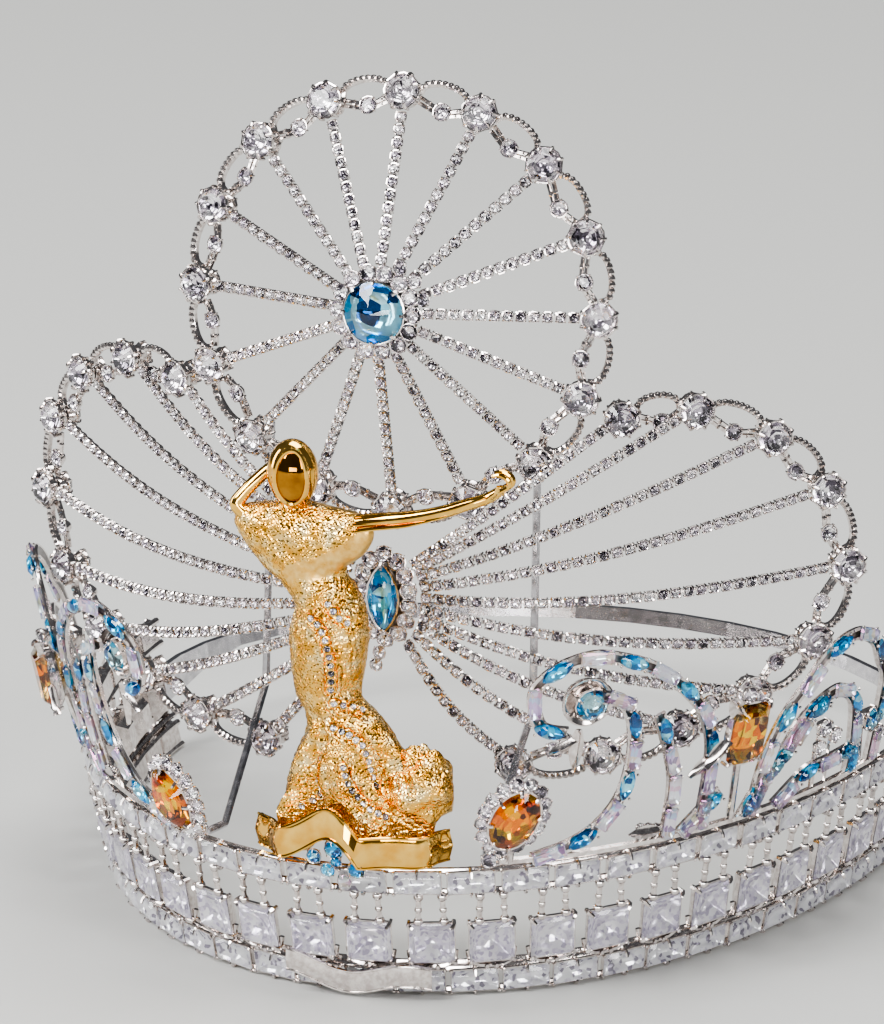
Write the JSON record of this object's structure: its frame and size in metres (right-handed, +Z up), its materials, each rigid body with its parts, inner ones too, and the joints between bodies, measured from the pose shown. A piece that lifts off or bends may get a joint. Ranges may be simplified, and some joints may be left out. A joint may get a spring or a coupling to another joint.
{
  "type": "carnival crown",
  "caption": "Tall stone-set crown: three-row band, spoked wheel over two side fans, coloured scrolls, amber flowers and a gold dancer in front.",
  "frame": {"origin": "middle of the crown's box, on the surface it rests on", "axes": "+Z up, -Y out of the crown's front, +X to the right as seen from the front"},
  "size_m": [0.1776, 0.1879, 0.1718],
  "materials": {
    "silver_plate": "bright plated, slightly warm",
    "crystal_row": "clear foiled stones in bright plated settings",
    "clear_crystal": "foiled clear glass stone, polished facets",
    "aqua_crystal": "foiled aqua glass stone, polished facets",
    "amber_crystal": "foiled amber glass stone, polished facets",
    "coloured_scroll": "aqua and iridescent stones in bright plated cups",
    "gold_plate": "bright gold plate, hammered on the gown"
  },
  "bodies": {
    "root": {"amber_flower_left_1": "amber_crystal", "amber_flower_left_2": "amber_crystal", "amber_flower_right_1": "amber_crystal", "amber_flower_right_2": "amber_crystal", "back_strip": "silver_plate", "bottom_row": "crystal_row", "figurine": "gold_plate", "gold_ribbon": "gold_plate", "hub_stone": "aqua_crystal", "lobe_left": "silver_plate", "lobe_right": "silver_plate", "lobe_stone_left_01": "clear_crystal", "lobe_stone_left_02": "clear_crystal", "lobe_stone_left_03": "clear_crystal", "lobe_stone_left_04": "clear_crystal", "lobe_stone_left_05": "clear_crystal", "lobe_stone_left_06": "clear_crystal", "lobe_stone_left_07": "clear_crystal", "lobe_stone_left_08": "clear_crystal", "lobe_stone_left_09": "clear_crystal", "lobe_stone_left_10": "clear_crystal", "lobe_stone_right_01": "clear_crystal", "lobe_stone_right_02": "clear_crystal", "lobe_stone_right_03": "clear_crystal", "lobe_stone_right_04": "clear_crystal", "lobe_stone_right_05": "clear_crystal", "lobe_stone_right_06": "clear_crystal", "lobe_stone_right_07": "clear_crystal", "lobe_stone_right_08": "clear_crystal", "lobe_stone_right_09": "clear_crystal", "lobe_stone_right_10": "clear_crystal", "marquise_setting": "silver_plate", "marquise_stone": "aqua_crystal", "scroll_left": "coloured_scroll", "scroll_right": "coloured_scroll", "silver_ribbon": "silver_plate", "square_row": "crystal_row", "strut_left": "silver_plate", "strut_right": "silver_plate", "top_row": "crystal_row", "wheel_frame": "silver_plate", "wheel_stone_01": "clear_crystal", "wheel_stone_02": "clear_crystal", "wheel_stone_03": "clear_crystal", "wheel_stone_04": "clear_crystal", "wheel_stone_05": "clear_crystal", "wheel_stone_06": "clear_crystal", "wheel_stone_07": "clear_crystal", "wheel_stone_08": "clear_crystal", "wheel_stone_09": "clear_crystal", "wheel_stone_10": "clear_crystal", "wheel_stone_11": "clear_crystal", "wheel_stone_12": "clear_crystal", "wheel_stone_13": "clear_crystal", "wheel_stone_14": "clear_crystal", "wheel_stone_15": "clear_crystal", "wheel_stone_16": "clear_crystal"}
  },
  "joints": []
}
